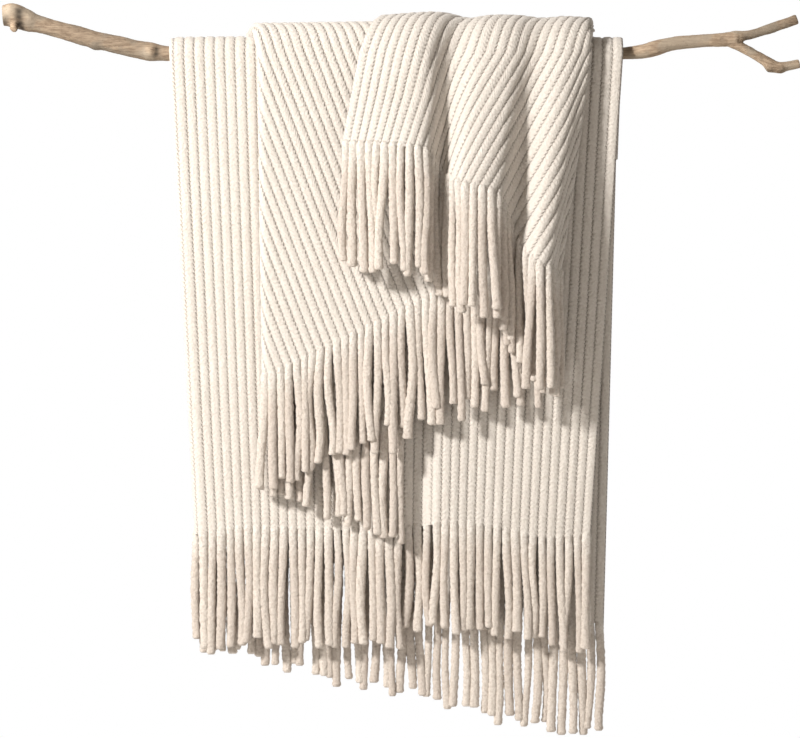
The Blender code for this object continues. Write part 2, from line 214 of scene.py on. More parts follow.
LIMB = (
    Bend(0, 0, 13.0), Bend(14, 0, 15.0), Bend(32, -7, 13.5), Bend(50, -12, 10.5),
    Bend(104, -27, 11.0), Bend(150, -38, 11.3), Bend(182, -45, 11.8), Bend(202, -47.6, 9.8),
    Bend(215, -48, 9.2), Bend(480, -48, 9.2), Bend(700, -48, 9.2), Bend(783, -47.5, 7.6),
    Bend(808, -45, 9.2), Bend(822, -41, 9.8), Bend(845, -35, 8.8), Bend(878, -32, 8.2),
    Bend(905, -30.5, 8.6), Bend(924, -30, 8.0),
)
UPPER_TWIG = (
    Bend(912, -30, 7.0), Bend(938, -25, 6.2), Bend(970, -15, 6.2), Bend(1000, -4.5, 6.4),
)
LOWER_TWIG = (
    Bend(910, -31, 6.0), Bend(934, -42, 6.2), Bend(958, -56, 6.4), Bend(972, -64.5, 7.2),
    Bend(983, -64.5, 6.4), Bend(1003, -60.5, 5.6),
)
STUB_ROOT = (20.0, 0.0, -6.0)
STUB_TIP = (15.0, -16.0, -18.0)
STUB_ROOT_RADIUS = 7.0
STUB_TIP_RADIUS = 4.6
STUB_SIDES = 18

# Between two bends the limb bows less where the span is long. A neighbouring span that is longer by
# the factor UNEVEN_SPANS has no pull on it.
LONG_SPAN = 60.0
LONG_SPAN_PULL = 0.35
SHORT_SPAN_PULL = 0.5
UNEVEN_SPANS = 3

# A mark on the bark's front: its place, its reach, how far it swells (or sinks), and its tone, by which
# the colour is multiplied. Dark tones in dents, such as the knuckle ring near the left end and the fork,
# and the darkening where the branch leaves the throw are painted shade; the pale patch on top near the
# left cut end is a painted highlight. The other tones make knots paler or darker and darken wide
# stretches of the limb and twigs.
Mark = namedtuple("Mark", "x z reach swell tone")

MARKS = (
    Mark(6, 8, 9, 0.6, 1.4), Mark(13, -15, 6, 0.9, 1.5), Mark(3, -9, 6, -0.8, 0.4),
    Mark(22, 5, 5, -1.6, 0.22), Mark(22, -3, 5, -1.8, 0.16), Mark(23, -11, 5, -1.8, 0.16),
    Mark(24, -18, 5, -1.4, 0.25), Mark(35, -2, 6, 0.9, 1.15), Mark(116, -41, 7, 2.4, 0.8),
    Mark(50, -12, 60, 0.0, 0.78), Mark(120, -31, 60, 0.0, 0.72), Mark(180, -45, 50, 0.0, 0.78),
    Mark(184, -46, 7, 1.8, 1.7), Mark(194, -43, 4, -1.0, 0.25), Mark(194, -50, 4, -0.9, 0.25),
    Mark(786, -47, 8, 0.0, 0.55), Mark(806, -44, 7, 1.0, 1.2), Mark(905, -31, 4, -0.6, 0.7),
    Mark(922, -23, 8, 2.0, 1.15), Mark(936, -30, 5, -0.8, 0.45), Mark(948, -22, 13, 0.0, 0.68),
    Mark(970, -14, 13, 0.0, 0.7), Mark(992, -6, 12, 0.0, 0.66), Mark(965, -67, 5, 2.6, 0.6),
    Mark(980, -69, 5, 1.8, 0.6), Mark(955, -55, 3, -0.4, 0.6),
)

# Bark. Marks lie on what has a Y under MARKED_FRONT. Relief grows over CUT_REACH from each of the two
# places near the cut ends. Under the throw nothing swells, and dents have COVERED_DEPTH of their depth.
MARKED_FRONT = 4.0
BARK_SIDES = 28
BARK_STEP = 3.0
BARK_VOXEL = 1.4
BARK_CUTS = (2.0, 996.0)
CUT_REACH = 8.0
COVERED_BARK = (205.0, 785.0)
COVERED_DEPTH = 0.5

# Grain in the bark: its depth, and the scale and start of its noise along each axis.
Grain = namedtuple("Grain", "depth scale start")

BARK_GRAINS = (
    Grain(0.5, (0.02, 0.22, 0.22), (0.0, 0.0, 0.0)),
    Grain(0.9, (0.045, 0.0, 0.02), (0.0, 7.0, 0.0)),
    Grain(0.25, (0.35, 0.35, 0.35), (0.0, 0.0, 0.0)),
)

# Colours as linear red, green and blue
KNIT_PALE = (0.72, 0.66, 0.59)
KNIT_DEEP = (0.64, 0.575, 0.505)
# KNIT_SHADE is painted shade in the hollows of the pile, on the knit and on the cords.
KNIT_SHADE = (0.40, 0.32, 0.255)
# GROOVE_SHADE is painted shade in the grooves between ribs.
GROOVE_SHADE = (0.20, 0.145, 0.105)
CORD_PALE = (0.69, 0.61, 0.53)
CORD_DEEP = (0.58, 0.50, 0.43)
BARK_PALE = (0.49, 0.365, 0.25)
BARK_DEEP = (0.26, 0.178, 0.115)
BARK_GREY = (0.36, 0.295, 0.22)
BARK_PIT = (0.07, 0.045, 0.03)
FLOOR_DEEP = (0.80, 0.79, 0.77)
FLOOR_PALE = (0.84, 0.83, 0.81)

# Noise in a material: its scale to a metre, its detail and its roughness.
Texture = namedtuple("Texture", "scale detail roughness")

YARN_PILE = Texture(1100.0, 4.0, 0.7)
YARN_TUFT = Texture(330.0, 3.0, 0.65)
STITCH_WANDER = Texture(120.0, 3.0, 0.6)
KNIT_CLOUD = Texture(14.0, 3.0, 0.6)
CORD_LUMP = Texture(150.0, 3.0, 0.6)
BARK_STREAK = Texture(420.0, 5.0, 0.65)
BARK_PATCH = Texture(34.0, 3.0, 0.55)
BARK_SPECK = Texture(520.0, 3.0, 0.6)
FLOOR_CLOUD = Texture(3.0, 3.0, 0.6)

# Relief of a material: its height in metres, and its strength.
Relief = namedtuple("Relief", "height strength")

KNIT_RELIEF = Relief(0.0022, 0.9)
CORD_RELIEF = Relief(0.0026, 0.9)
PILE_RELIEF = Relief(0.0007, 0.6)
STREAK_RELIEF = Relief(0.0011, 0.8)
SPECK_RELIEF = Relief(0.0006, 0.6)

# Finish of a material
Finish = namedtuple("Finish", "roughness specular sheen sheen_roughness")

YARN_FINISH = Finish(0.95, 0.12, 0.2, 0.6)
BARK_FINISH = Finish(0.78, 0.3, 0.0, 0.5)
FLOOR_FINISH = Finish(0.7, 0.5, 0.0, 0.5)

# Stitches and grooves of the knit. An edge is a pair of values between which something begins and is
# full. Slant, shift and reach are shares of a stitch or of half a rib. Rises and falls are relative.
WANDER = 0.7
STITCH_SLANT = 0.6
FLANK_SHIFT = 0.5
TOOTH_REACH = 0.42
GROOVE_EDGE = (0.78, 1.14)
STITCH_RISE = 0.07
GROOVE_FALL = 0.7
TUFT_RISE = 0.8
# GROOVE_LEAST and GROOVE_SPREAD: the least strength of the painted shade in a groove, and how much more
# some ribs get.
GROOVE_LEAST = 0.43
GROOVE_SPREAD = 0.35
# HOLLOW_START and HOLLOW_SHARE paint shade into the hollows of the pile, where the tuft noise falls under
# the start.
HOLLOW_START = 0.6
HOLLOW_SHARE = 1.1

# Cords
CORD_TUFT_RISE = 0.9
CORD_LUMP_RISE = 0.4
# CORD_HOLLOW_SHARE: how strongly painted shade darkens the hollows of a cord's pile.
CORD_HOLLOW_SHARE = 2.0
ROOT_FADE = (0.0, 0.05)

# Streaks, weathering and specks of the bark
STREAK_STRETCH = (0.16, 1.0, 1.0)
STREAK_EDGE = (0.32, 0.68)
GREY_EDGE = (0.45, 0.62)
GREY_SHARE = 0.7
SPECK_START = 0.6
SPECK_SHARE = 3.5

# Light. The surround turns from the front light to the back light along Y.
LIT_PLACE = (0.45, 0.0, -0.35)
BACK_LIGHT = (1.0, 1.0, 1.0)
BACK_LIGHT_EDGE = (0.0, 0.75)
FRONT_LIGHT = (0.225, 0.205, 0.18)
KEY_PLACE = (-1.5, -1.85, 0.95)
KEY_SIZE = 0.38
KEY_POWER = 142.0
FILL_PLACE = (2.2, -2.6, 0.2)
FILL_SIZE = 2.0
FILL_POWER = 9.0
FLOOR_PLACE = (0.5, 0.0, -1.25)
FLOOR_RADIUS = 2.6
FLOOR_SIDES = 96

# Camera
LENS = 200.0
SENSOR = 36.0
FOCUS_Y = -0.04
CLIP_END = 60.0


def mix(a, b, share):
    """Blend two numbers, or two rows or tuples of them."""
    if isinstance(a, Row):
        return Row(*(mix(one, other, share) for one, other in zip(a, b)))
    if isinstance(a, tuple):
        return tuple(mix(one, other, share) for one, other in zip(a, b))
    return a + (b - a) * share


def curve(t, start, end, rise_in, rise_out):
    """Value of a smooth curve between two values, with its rise at each of them."""
    return (
        (2 * t ** 3 - 3 * t ** 2 + 1) * start + (t ** 3 - 2 * t ** 2 + t) * rise_in
        + (3 * t ** 2 - 2 * t ** 3) * end + (t ** 3 - t ** 2) * rise_out)


def turning_rows(start, end, steps, swell=(0.0, 0.0, 0.0)):
    """Rows round a half turn, which slide along the branch mostly in the first, hidden half."""
    rows = []
    for step in range(steps + 1):
        share = step / steps
        slid = mix(share, 1.0 - (1.0 - share) ** SLIDE_POWER, HIDDEN_SLIDE)
        row = mix(start, end, slid)
        rise = math.sin(math.pi * share)
        rows.append(row._replace(
            turn=mix(start.turn, end.turn, share), crease=mix(start.crease, end.crease, share * share),
            ply=tuple(distance - extra * rise for distance, extra in zip(row.ply, swell)), steps=1))
    return rows


def drape_rows():
    """All rows, from the long hem to the short one, with true half turns."""
    first = turning_rows(FIRST_WRAP, FIRST_WRAP._replace(turn=180.0), WRAP_STEPS)
    loop = turning_rows(LOOP_DOWN, LOOP_UP, LOOP_STEPS)
    second = turning_rows(SECOND_WRAP_BACK, SECOND_WRAP_FRONT, WRAP_STEPS, WRAP_SWELL)
    first[-1] = first[-1]._replace(steps=STEPS_DOWN_BEHIND)
    loop[-1] = loop[-1]._replace(steps=STEPS_UP_BEHIND)
    second[-1] = second[-1]._replace(steps=STEPS_DOWN_FRONT)
    return [LONG_HEM] + first + loop + second + [SHORT_MIDWAY, SHORT_HEM]


def crease_tables(row):
    """Creases of the three plies on a row, by the part of the throw that the row belongs to."""
    if row.ply[0] > 0.0:
        return FIRST_LONG_CREASES, SECOND_LONG_CREASES, SECOND_LONG_CREASES
    if row.drop[0] == 0.0:
        return FIRST_SHORT_CREASES, SECOND_SHORT_CREASES, WRAP_SHORT_CREASES
    return FIRST_SHORT_CREASES, SECOND_SHORT_CREASES, THIRD_SHORT_CREASES


def crease_at(table, share):
    """Read a crease table at any share, on a smooth curve through its rows."""
    index = 0
    while index < len(table) - 2 and table[index + 1].share < share:
        index += 1
    here, after = table[index], table[index + 1]
    before = table[max(index - 1, 0)]
    beyond = table[min(index + 2, len(table) - 1)]
    width = after.share - here.share
    t = (share - here.share) / width
    values = []
    for column in range(1, 4):
        rise_in = (after[column] - before[column]) / (after.share - before.share) * width
        rise_out = (beyond[column] - here[column]) / (beyond.share - here.share) * width
        values.append(curve(t, here[column], after[column], rise_in, rise_out))
    return values


def across(row, rib):
    """Find a rib's zone on a row (ply 0, 1 or 2, or fold 0.5 or 1.5) and its share of that zone."""
    left, right = row.ribs
    starts = (0.0, left - row.half, left + row.half, right - row.half, right + row.half, float(RIBS))
    for index in range(5):
        if index == 4 or rib <= starts[index + 1]:
            return index / 2, (rib - starts[index]) / max(starts[index + 1] - starts[index], 0.001)
    return None


def on_row(row, zone, share):
    """Point of a zone on one row."""
    shift = stand = lift = 0.0
    if zone == int(zone):
        ply = int(zone)
        x = mix(row.x[ply], row.x[ply + 1], share)
        drop = mix(row.drop[ply], row.drop[ply + 1], share)
        distance = row.ply[ply]
        shift, stand, lift = crease_at(crease_tables(row)[ply], share)
    else:
        inner = int(zone)
        swing = math.pi * share
        radius = abs(row.ply[inner] - row.ply[inner + 1]) / 2
        side = -1.0 if inner == 0 else 1.0
        x = row.x[inner + 1] + side * radius * math.sin(swing)
        drop = row.drop[inner + 1]
        distance = mix(row.ply[inner], row.ply[inner + 1], (1 - math.cos(swing)) / 2)
    turn = math.radians(row.turn)
    facing = Vector((0.0, -math.cos(turn), math.sin(turn)))
    away = 1.0 if row.ply[0] > 0 else -1.0
    point = Vector((x + row.crease * shift, row.behind, WRAP_HEIGHT - drop + row.crease * lift))
    return (point + facing * (distance + away * row.crease * stand)) * MM


def middle_surface():
    """Grid of points on the middle of the knit: one line of points for each station along it."""
    rows = drape_rows()
    lines = []
    for index, (before, after) in enumerate(zip(rows, rows[1:])):
        last = index == len(rows) - 2
        for step in range(before.steps + (1 if last else 0)):
            share = step / before.steps
            between = mix(before, after, share)
            line = []
            for column in range(RIBS * COLUMNS_PER_RIB + 1):
                zone, part = across(between, column / COLUMNS_PER_RIB)
                line.append(on_row(before, zone, part).lerp(on_row(after, zone, part), share))
            lines.append(line)
    return np.array(lines)


def grid_normals(points):
    """Normals of a grid, from its neighbours across and along."""
    across_step = np.gradient(points, axis=1)
    along_step = np.gradient(points, axis=0)
    normals = np.cross(across_step, along_step)
    return normals / np.linalg.norm(normals, axis=2, keepdims=True)


def add_object(name, data):
    """Add an object to the scene."""
    thing = bpy.data.objects.new(name, data)
    bpy.context.scene.collection.objects.link(thing)
    return thing


def add_knit_coordinates(mesh, coordinates):
    """Store the rib number and the run along the rib of each point as texture coordinates."""
    layer = mesh.uv_layers.new(name="knit")
    corners = np.zeros(len(mesh.loops), dtype=np.int32)
    mesh.loops.foreach_get("vertex_index", corners)
    layer.data.foreach_set("uv", coordinates[corners].ravel())


def grid_faces(index):
    """Corners of the faces between the points of a numbered grid."""
    corners = (index[:-1, :-1], index[:-1, 1:], index[1:, 1:], index[1:, :-1])
    return np.stack([corner.ravel() for corner in corners], axis=1)


def rim_faces(index):
    """Corners of the walls round a numbered grid, down to a second grid numbered after it."""
    rim = np.concatenate([index[0, :], index[1:, -1], index[-1, -2::-1], index[-2:0:-1, 0]])
    after = np.roll(rim, -1)
    return np.stack([after, rim, rim + index.size, after + index.size], axis=1)


def knit_sheet():
    """The throw as one closed knitted sheet, with plump ribs on both faces."""
    points = middle_surface()
    normals = grid_normals(points)
    rows, columns = points.shape[:2]
    ribs = np.arange(columns) / COLUMNS_PER_RIB
    profile = GROOVE_HALF + (CREST_HALF - GROOVE_HALF) * np.sin(math.pi * (ribs % 1.0)) ** RIB_ROUND
    tufts = np.random.RandomState(SEED).uniform(-KNIT_PILE, KNIT_PILE, (2, rows, columns))
    thick = (profile + tufts)[..., None] * MM
    spots = np.concatenate([points + normals * thick[0], points - normals * thick[1]])
    index = np.arange(rows * columns).reshape(rows, columns)
    upper = grid_faces(index)
    lower = upper[:, ::-1] + index.size
    faces = np.concatenate([upper, lower, rim_faces(index)])
    mesh = bpy.data.meshes.new("knit_sheet")
    mesh.from_pydata(spots.reshape(-1, 3).tolist(), [], faces.tolist())
    steps = np.linalg.norm(np.diff(points, axis=0), axis=2)
    run = np.concatenate([np.zeros((1, columns)), np.cumsum(steps, axis=0)])
    coordinates = np.stack([np.broadcast_to(ribs, run.shape), run], axis=2).reshape(-1, 2)
    add_knit_coordinates(mesh, np.concatenate([coordinates, coordinates]))
    mesh.shade_smooth()
    mesh.set_sharp_from_angle(angle=math.radians(HEM_ANGLE))
    return add_object("knit_sheet", mesh)


def wave_sum(waves, rib):
    """Height of a few waves together, at a rib."""
    return sum(wave.height * math.sin(wave.rate * rib + wave.start) for wave in waves)


def strand_length(row, rib, x, stretches):
    """Length of a strand, a little uneven, and longer where a second tier shows."""
    ply = sum(rib > fold for fold in row.ribs)
    length = STRAND_LENGTH + wave_sum(LENGTH_WAVES, rib)
    for stretch in stretches:
        chosen = int(rib) % stretch.every == stretch.every - 1
        if chosen and ply == stretch.ply and stretch.x_start < x < stretch.x_end:
            length += stretch.extra
    return length


def strand_path(row, rib, long_end, chance):
    """Centreline of a strand: out of the rib's end and down, with the small bends of a limp cord."""
    root = np.array(on_row(row, *across(row, rib))) / MM
    stretches = LONG_STRETCHES if long_end else SHORT_STRETCHES
    calm = LONG_END_CALM if long_end else 1.0
    length = strand_length(row, rib, root[0], stretches) + chance.uniform(*STRAND_TRIM)
    share = np.linspace(0.0, 1.0, STRAND_RINGS + 1)
    hang = share ** 3 if long_end else share * share * (3 - 2 * share)
    side = CLUMP * math.sin(CLUMP_RATE * rib + CLUMP_WANDER * math.sin(CLUMP_WANDER_RATE * rib))
    side += chance.uniform(-STRAND_SPREAD, STRAND_SPREAD)
    lay = chance.uniform(-STRAND_LAY, STRAND_LAY)
    sway = chance.uniform(*STRAND_SWAY) * calm
    beat = chance.uniform(*STRAND_BEAT)
    start = chance.uniform(0.0, 2 * math.pi)
    wave = sway * (np.sin(math.pi * beat * share + start) - math.sin(start)) * np.sqrt(share)
    return np.stack([
        root[0] + side * calm * hang + wave,
        root[1] + lay * hang,
        root[2] + STRAND_SINK - (length + STRAND_SINK) * share], axis=1)


def strand_sizes(swell, chance):
    """Size of a strand at each ring: sunk into its rib at the root, uneven along, and blunt at the tip."""
    share = np.linspace(0.0, 1.0, STRAND_RINGS + 1)
    bulge = BULGE * np.sin(BULGE_RATE * share + chance.uniform(0.0, BULGE_START))
    sizes = swell * (1.0 + bulge - TIP_TAPER * share)
    sizes[:len(ROOT_SIZES)] *= ROOT_SIZES
    sizes[-len(TIP_SIZES):] *= TIP_SIZES
    return sizes


def tube_faces(rings):
    """Corners of a strand's walls, one ring after another, and of its two ends."""
    index = np.arange(rings * STRAND_SIDES).reshape(rings, STRAND_SIDES)
    beside = np.roll(index, -1, axis=1)
    walls = np.stack([index[:-1], index[1:], beside[1:], beside[:-1]], axis=2).reshape(-1, 4)
    return walls, index[0], index[-1, ::-1]


def fringe_strands(name, row, long_end):
    """All strands of one hem, as plump fluffy cords with blunt ends."""
    chance = random.Random(SEED + int(long_end))
    tufts = np.random.RandomState(SEED + int(long_end))
    rings = STRAND_RINGS + 1
    around = np.arange(STRAND_SIDES) / STRAND_SIDES
    turn = 2 * math.pi * around
    down = np.linspace(0.0, STRAND_LENGTH * MM, rings)[:, None]
    parts = tube_faces(rings)
    spots, faces, coordinates = [], [], []
    for strand in range(RIBS):
        path = strand_path(row, strand + 0.5, long_end, chance)
        sizes = strand_sizes(chance.uniform(*STRAND_SWELL), chance)
        tuft = 1.0 + STRAND_PILE * tufts.uniform(-1.0, 1.0, (rings, STRAND_SIDES))
        width = STRAND_HALF_WIDTH * sizes[:, None] * tuft * np.cos(turn)
        depth = STRAND_HALF_DEPTH * sizes[:, None] * tuft * np.sin(turn)
        height = np.broadcast_to(path[:, 2:], width.shape)
        ring = np.stack([path[:, :1] + width, path[:, 1:2] + depth, height], axis=2)
        spots.append(ring.reshape(-1, 3) * MM)
        base = strand * rings * STRAND_SIDES
        walls, root, tip = (part + base for part in parts)
        faces.extend(walls.tolist())
        faces.append(root.tolist())
        faces.append(tip.tolist())
        place = (np.broadcast_to(strand + around, width.shape), np.broadcast_to(down, width.shape))
        coordinates.append(np.stack(place, axis=2).reshape(-1, 2))
    mesh = bpy.data.meshes.new(name)
    mesh.from_pydata(np.concatenate(spots).tolist(), [], faces)
    add_knit_coordinates(mesh, np.concatenate(coordinates))
    mesh.shade_smooth()
    return add_object(name, mesh)


def smooth_bends(bends):
    """Points and radii along a smooth curve through the bends."""
    spots = []
    for index, (here, after) in enumerate(zip(bends, bends[1:])):
        span = after.x - here.x
        before = bends[max(index - 1, 0)]
        beyond = bends[min(index + 2, len(bends) - 1)]
        if abs(here.x - before.x) > UNEVEN_SPANS * abs(span):
            before = here
        if abs(beyond.x - after.x) > UNEVEN_SPANS * abs(span):
            beyond = after
        pull = LONG_SPAN_PULL if span > LONG_SPAN else SHORT_SPAN_PULL
        steps = max(2, int(math.hypot(span, after.z - here.z) / BARK_STEP))
        last = index == len(bends) - 2
        for step in range(steps + (1 if last else 0)):
            spots.append(Bend(*(
                curve(step / steps, one, other, (other - old) * pull, (new - one) * pull)
                for old, one, other, new in zip(before, here, after, beyond))))
    return spots


def add_limb(body, bends):
    """Add one round limb, with its cut ends square to it."""
    spots = smooth_bends(bends)
    rings = []
    for index, spot in enumerate(spots):
        before, after = spots[max(index - 1, 0)], spots[min(index + 1, len(spots) - 1)]
        along = Vector((after.x - before.x, 0.0, after.z - before.z)).normalized()
        up = Vector((-along.z, 0.0, along.x))
        ring = []
        for side in range(BARK_SIDES):
            turn = 2 * math.pi * side / BARK_SIDES
            out = up * math.cos(turn) + Vector((0.0, 1.0, 0.0)) * math.sin(turn)
            ring.append(body.verts.new((Vector((spot.x, 0.0, spot.z)) + out * spot.radius) * MM))
        rings.append(ring)
    for above, below in zip(rings, rings[1:]):
        for side in range(BARK_SIDES):
            other = (side + 1) % BARK_SIDES
            body.faces.new((above[side], above[other], below[other], below[side]))
    body.faces.new(rings[0])
    body.faces.new(rings[-1])


def add_stub(body):
    """Add the broken stub near the branch's left end."""
    root, tip = Vector(STUB_ROOT) * MM, Vector(STUB_TIP) * MM
    turn = (tip - root).to_track_quat("Z", "Y").to_matrix().to_4x4()
    turn.translation = (root + tip) / 2
    bmesh.ops.create_cone(
        body, cap_ends=True, segments=STUB_SIDES, radius1=STUB_ROOT_RADIUS * MM,
        radius2=STUB_TIP_RADIUS * MM, depth=(tip - root).length, matrix=turn)


def bark_branch():
    """The branch as one grown form, with knots, ridges and a broken stub."""
    body = bmesh.new()
    for bends in (LIMB, UPPER_TWIG, LOWER_TWIG):
        add_limb(body, bends)
    add_stub(body)
    bmesh.ops.recalc_face_normals(body, faces=body.faces)
    mesh = bpy.data.meshes.new("branch_bark")
    body.to_mesh(mesh)
    body.free()
    branch = add_object("branch_bark", mesh)
    remesh = branch.modifiers.new("grow", "REMESH")
    remesh.mode = "VOXEL"
    remesh.voxel_size = BARK_VOXEL * MM
    evaluated = branch.evaluated_get(bpy.context.evaluated_depsgraph_get())
    grown = bpy.data.meshes.new_from_object(evaluated)
    branch.modifiers.clear()
    branch.data = grown
    roughen_bark(grown)
    grown.shade_smooth()
    return branch


def bark_grain(spots):
    """Depth of the bark's ridges, swellings and pits at each point."""
    depth = np.zeros(len(spots))
    for grain in BARK_GRAINS:
        places = spots * grain.scale + grain.start
        depth += [grain.depth * noise.noise(place) for place in places.tolist()]
    return depth


def roughen_bark(mesh):
    """Grain and marks in the bark, but fewer on the cut ends and under the throw."""
    count = len(mesh.vertices)
    spots = np.zeros(count * 3)
    normals = np.zeros(count * 3)
    mesh.vertices.foreach_get("co", spots)
    mesh.vertex_normals.foreach_get("vector", normals)
    spots = spots.reshape(-1, 3) / MM
    normals = normals.reshape(-1, 3)
    x, y, z = spots.T
    depth = bark_grain(spots)
    tone = np.ones(count)
    for mark in MARKS:
        away = np.hypot(x - mark.x, z - mark.z) / mark.reach
        near = np.exp(-away * away) * (y < MARKED_FRONT)
        depth += mark.swell * near
        # Tones of the marks: painted shade in dents and where the branch leaves the throw, a painted
        # highlight on top near the left cut end, and paler and darker knots.
        tone *= 1.0 + (mark.tone - 1.0) * near
    covered = (x > COVERED_BARK[0]) & (x < COVERED_BARK[1])
    depth = np.where(covered, np.minimum(depth, 0.0) * COVERED_DEPTH, depth)
    from_cut = np.minimum(x - BARK_CUTS[0], BARK_CUTS[1] - x) / CUT_REACH
    spots += normals * (depth * np.clip(from_cut, 0.0, 1.0))[:, None]
    mesh.vertices.foreach_set("co", (spots * MM).ravel())
    mesh.attributes.new("tone", "FLOAT", "POINT").data.foreach_set("value", tone)


class Nodes:
    """Short names for building a material's nodes."""

    def __init__(self, name):
        self.material = bpy.data.materials.new(name)
        self.material.use_nodes = True
        self.tree = self.material.node_tree
        self.shader = self.tree.nodes["Principled BSDF"]

    def add(self, kind, **settings):
        """Add a node."""
        node = self.tree.nodes.new(kind)
        for key, value in settings.items():
            setattr(node, key, value)
        return node

    def link(self, source, target):
        """Join two sockets."""
        self.tree.links.new(source, target)

    def give(self, value, socket):
        """Give a socket a number, a colour or what another socket sends."""
        if isinstance(value, (int, float)):
            socket.default_value = value
        elif isinstance(value, tuple):
            socket.default_value = (*value, 1.0)
        else:
            self.link(value, socket)

    def math(self, operation, first, second=None):
        """Work with one or two numbers."""
        node = self.add("ShaderNodeMath", operation=operation)
        self.give(first, node.inputs[0])
        if second is not None:
            self.give(second, node.inputs[1])
        return node.outputs[0]

    def blend(self, factor, first, second):
        """Mix two colours."""
        node = self.add("ShaderNodeMix", data_type="RGBA")
        self.give(factor, node.inputs[0])
        self.give(first, node.inputs[6])
        self.give(second, node.inputs[7])
        return node.outputs[2]

    def noise(self, vector, texture):
        """Noise at a place."""
        node = self.add("ShaderNodeTexNoise")
        node.inputs["Scale"].default_value = texture.scale
        node.inputs["Detail"].default_value = texture.detail
        node.inputs["Roughness"].default_value = texture.roughness
        self.link(vector, node.inputs["Vector"])
        return node.outputs["Fac"]

    def ramp(self, value, edge):
        """Smooth step from 0 to 1 between the two values of an edge."""
        node = self.add("ShaderNodeMapRange", interpolation_type="SMOOTHSTEP")
        node.inputs["From Min"].default_value = edge[0]
        node.inputs["From Max"].default_value = edge[1]
        self.link(value, node.inputs["Value"])
        return node.outputs["Result"]

    def above(self, value, start, share):
        """How far a value goes past a start, times a share."""
        return self.math("MULTIPLY", self.math("MAXIMUM", self.math("SUBTRACT", value, start), 0.0), share)

    def below(self, value, start, share):
        """How far a value falls short of a start, times a share."""
        return self.math("MULTIPLY", self.math("MAXIMUM", self.math("SUBTRACT", start, value), 0.0), share)

    def bump(self, height, relief, under=None):
        """Raise the surface by a height, over what already lies under it."""
        node = self.add("ShaderNodeBump")
        node.inputs["Distance"].default_value = relief.height
        node.inputs["Strength"].default_value = relief.strength
        self.link(height, node.inputs["Height"])
        if under is not None:
            self.link(under, node.inputs["Normal"])
        return node.outputs["Normal"]

    def finish(self, colour, finish, surface=None):
        """Give the shader its colour, its finish and its surface, and return the material."""
        self.link(colour, self.shader.inputs["Base Color"])
        if surface is not None:
            self.link(surface, self.shader.inputs["Normal"])
        self.shader.inputs["Roughness"].default_value = finish.roughness
        self.shader.inputs["Specular IOR Level"].default_value = finish.specular
        self.shader.inputs["Sheen Weight"].default_value = finish.sheen
        self.shader.inputs["Sheen Roughness"].default_value = finish.sheen_roughness
        return self.material


def knit_place(n):
    """Rib number and run along the rib, from the texture coordinates."""
    parts = n.add("ShaderNodeSeparateXYZ")
    n.link(n.add("ShaderNodeUVMap", uv_map="knit").outputs[0], parts.inputs[0])
    return parts.outputs[0], parts.outputs[1]


def random_number(n, value):
    """A number from 0 to 1 that stays the same over each whole number of a value."""
    number = n.add("ShaderNodeTexWhiteNoise", noise_dimensions="1D")
    n.link(n.math("FLOOR", value), number.inputs["W"])
    return number.outputs["Value"]


def chenille_knit():
    """Ivory chenille rib: soft slanted stitches; painted shade in its toothed grooves and pile hollows."""
    n = Nodes("chenille_knit")
    rib, run = knit_place(n)
    solid = n.add("ShaderNodeTexCoord").outputs["Object"]
    pile = n.noise(solid, YARN_PILE)
    tuft = n.noise(solid, YARN_TUFT)
    wander = n.math("MULTIPLY", n.math("SUBTRACT", n.noise(solid, STITCH_WANDER), 0.5), WANDER)
    inside = n.math("SUBTRACT", n.math("FRACT", rib), 0.5)
    side = n.math("MULTIPLY", n.math("ABSOLUTE", inside), 2.0)
    flank = n.math("MULTIPLY", n.math("GREATER_THAN", inside, 0.0), FLANK_SHIFT)
    stitches = n.math("ADD", n.math("DIVIDE", run, STITCH * MM), wander)
    slant = n.math("MULTIPLY", side, STITCH_SLANT)
    tooth = n.math("FRACT", n.math("ADD", n.math("ADD", stitches, flank), slant))
    stitch = n.math("SINE", n.math("MULTIPLY", tooth, 2 * math.pi))
    reach = n.math("MULTIPLY", n.math("SUBTRACT", tooth, 0.5), TOOTH_REACH)
    groove = n.ramp(n.math("ADD", side, reach), GROOVE_EDGE)
    height = n.math(
        "SUBTRACT", n.math("MULTIPLY", stitch, STITCH_RISE), n.math("MULTIPLY", groove, GROOVE_FALL))
    height = n.math("ADD", height, n.math("MULTIPLY", tuft, TUFT_RISE))
    surface = n.bump(pile, PILE_RELIEF, n.bump(height, KNIT_RELIEF))
    number = random_number(n, n.math("ADD", rib, 0.5))
    strength = n.math("ADD", n.math("MULTIPLY", number, GROOVE_SPREAD), GROOVE_LEAST)
    colour = n.blend(n.noise(solid, KNIT_CLOUD), KNIT_DEEP, KNIT_PALE)
    # Painted shade in the hollows of the pile.
    colour = n.blend(n.below(tuft, HOLLOW_START, HOLLOW_SHARE), colour, KNIT_SHADE)
    # Painted shade in the grooves between ribs, stronger on some ribs than on others.
    colour = n.blend(n.math("MULTIPLY", groove, strength), colour, GROOVE_SHADE)
    return n.finish(colour, YARN_FINISH, surface)


def chenille_cord():
    """Ivory chenille cord of the fringe: short pile in small tufts, with painted shade in its hollows."""
    n = Nodes("chenille_cord")
    strand, run = knit_place(n)
    solid = n.add("ShaderNodeTexCoord").outputs["Object"]
    pile = n.noise(solid, YARN_PILE)
    tuft = n.noise(solid, YARN_TUFT)
    height = n.math(
        "ADD", n.math("MULTIPLY", tuft, CORD_TUFT_RISE),
        n.math("MULTIPLY", n.noise(solid, CORD_LUMP), CORD_LUMP_RISE))
    surface = n.bump(pile, PILE_RELIEF, n.bump(height, CORD_RELIEF))
    colour = n.blend(random_number(n, strand), CORD_DEEP, CORD_PALE)
    colour = n.blend(n.ramp(run, ROOT_FADE), KNIT_PALE, colour)
    # Painted shade in the hollows of the cord's pile.
    colour = n.blend(n.below(tuft, HOLLOW_START, CORD_HOLLOW_SHARE), colour, KNIT_SHADE)
    return n.finish(colour, YARN_FINISH, surface)


